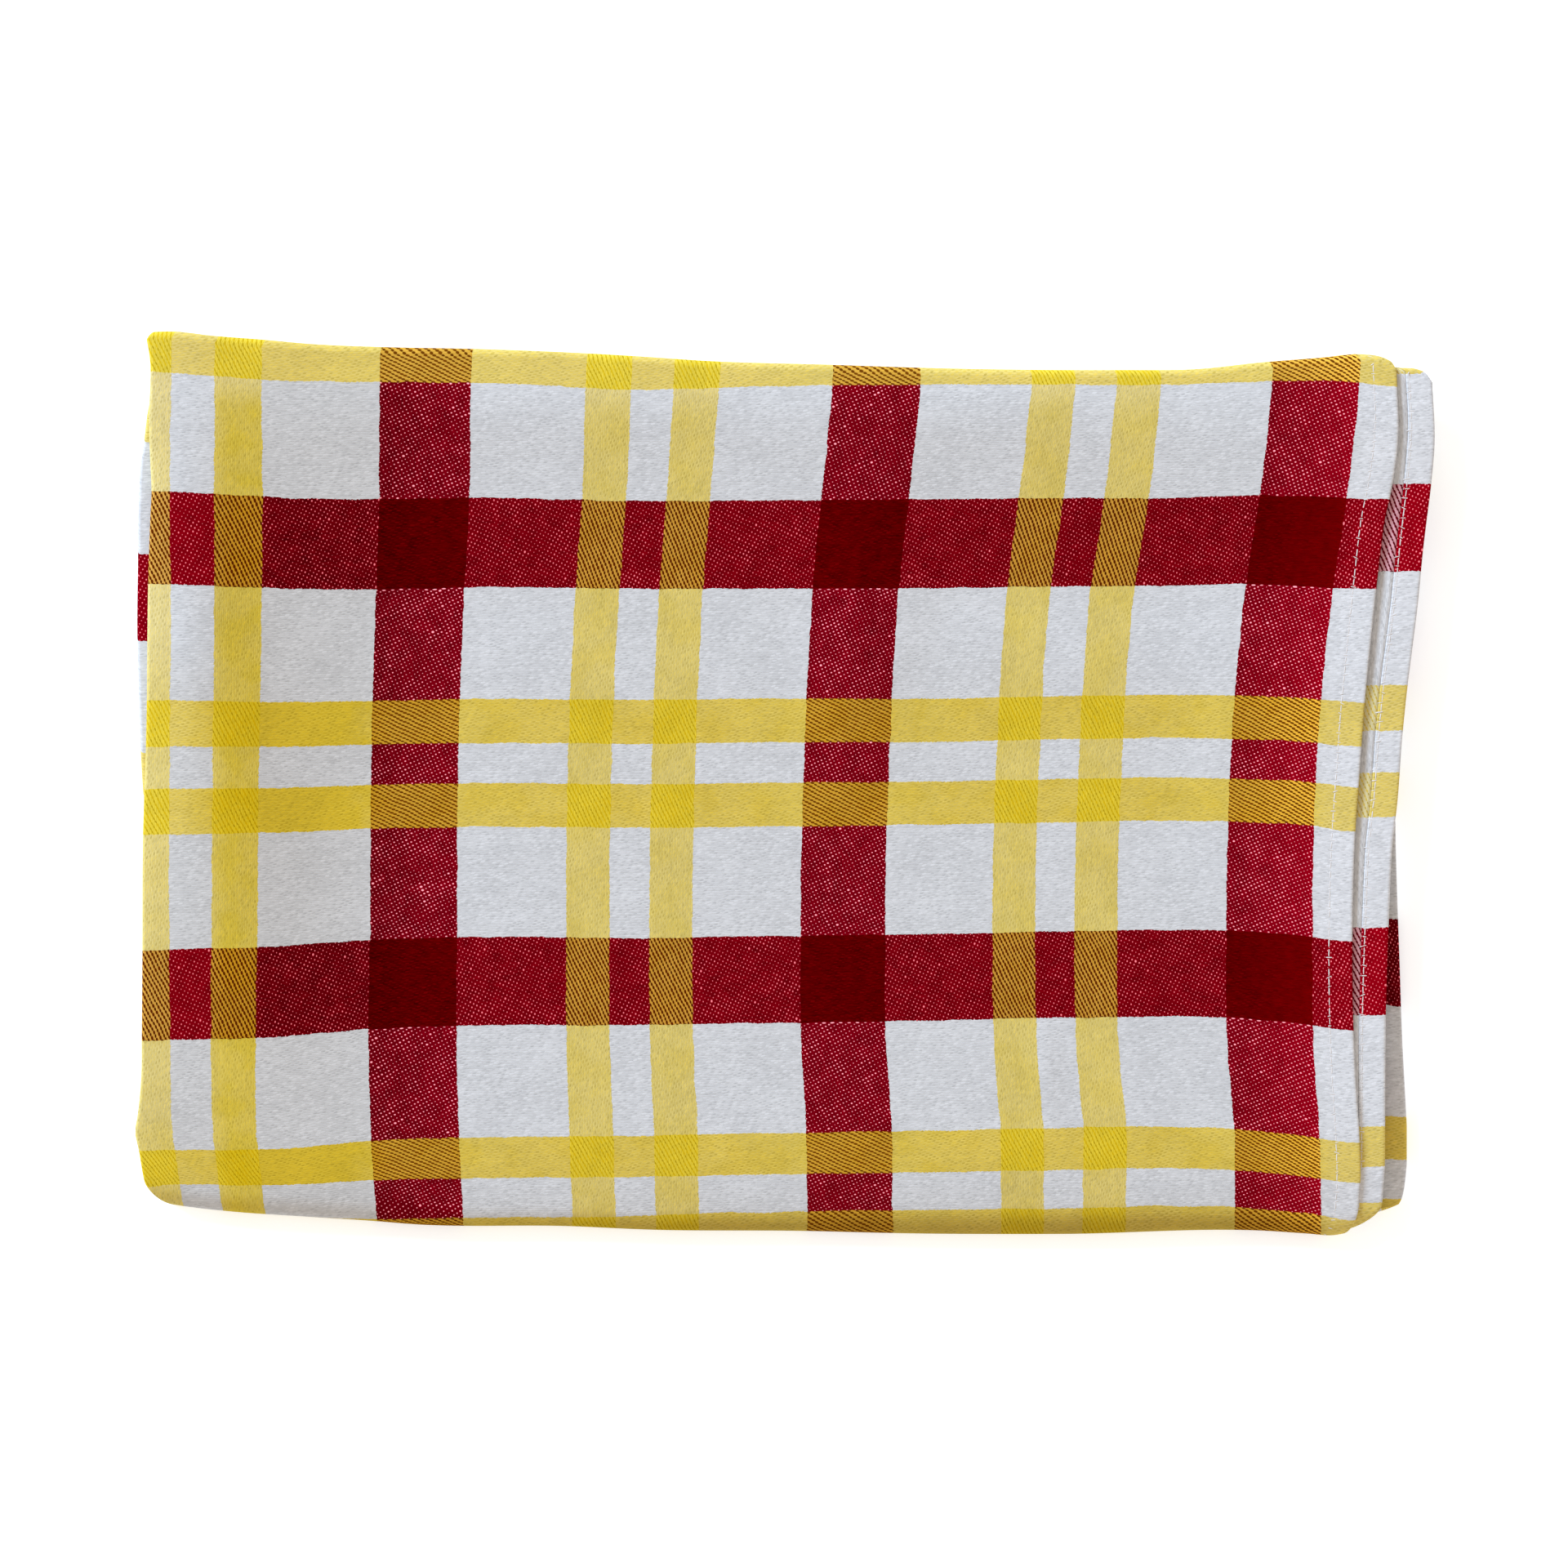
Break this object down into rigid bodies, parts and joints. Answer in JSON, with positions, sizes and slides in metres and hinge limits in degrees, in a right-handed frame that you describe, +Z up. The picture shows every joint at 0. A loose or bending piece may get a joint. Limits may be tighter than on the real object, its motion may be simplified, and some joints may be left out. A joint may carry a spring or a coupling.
{
  "type": "tablecloth",
  "caption": "Checked cotton tablecloth with sewn hems, folded once across its width and twice along its length into a flat rectangular packet.",
  "frame": {"origin": "middle of the folded packet's outline, on the surface that it lies on", "axes": "+Z up; +X from the crosswise fold towards the side hems; +Y from the thick outer wrap towards the thin double fold"},
  "size_m": [0.5178, 0.36, 0.0138],
  "materials": {
    "checked_cotton": "soft satin-weave cotton, woven in a check of dark red, yellow and white, with a faint sheen"
  },
  "bodies": {
    "root": {"tablecloth": "checked_cotton"}
  },
  "joints": []
}
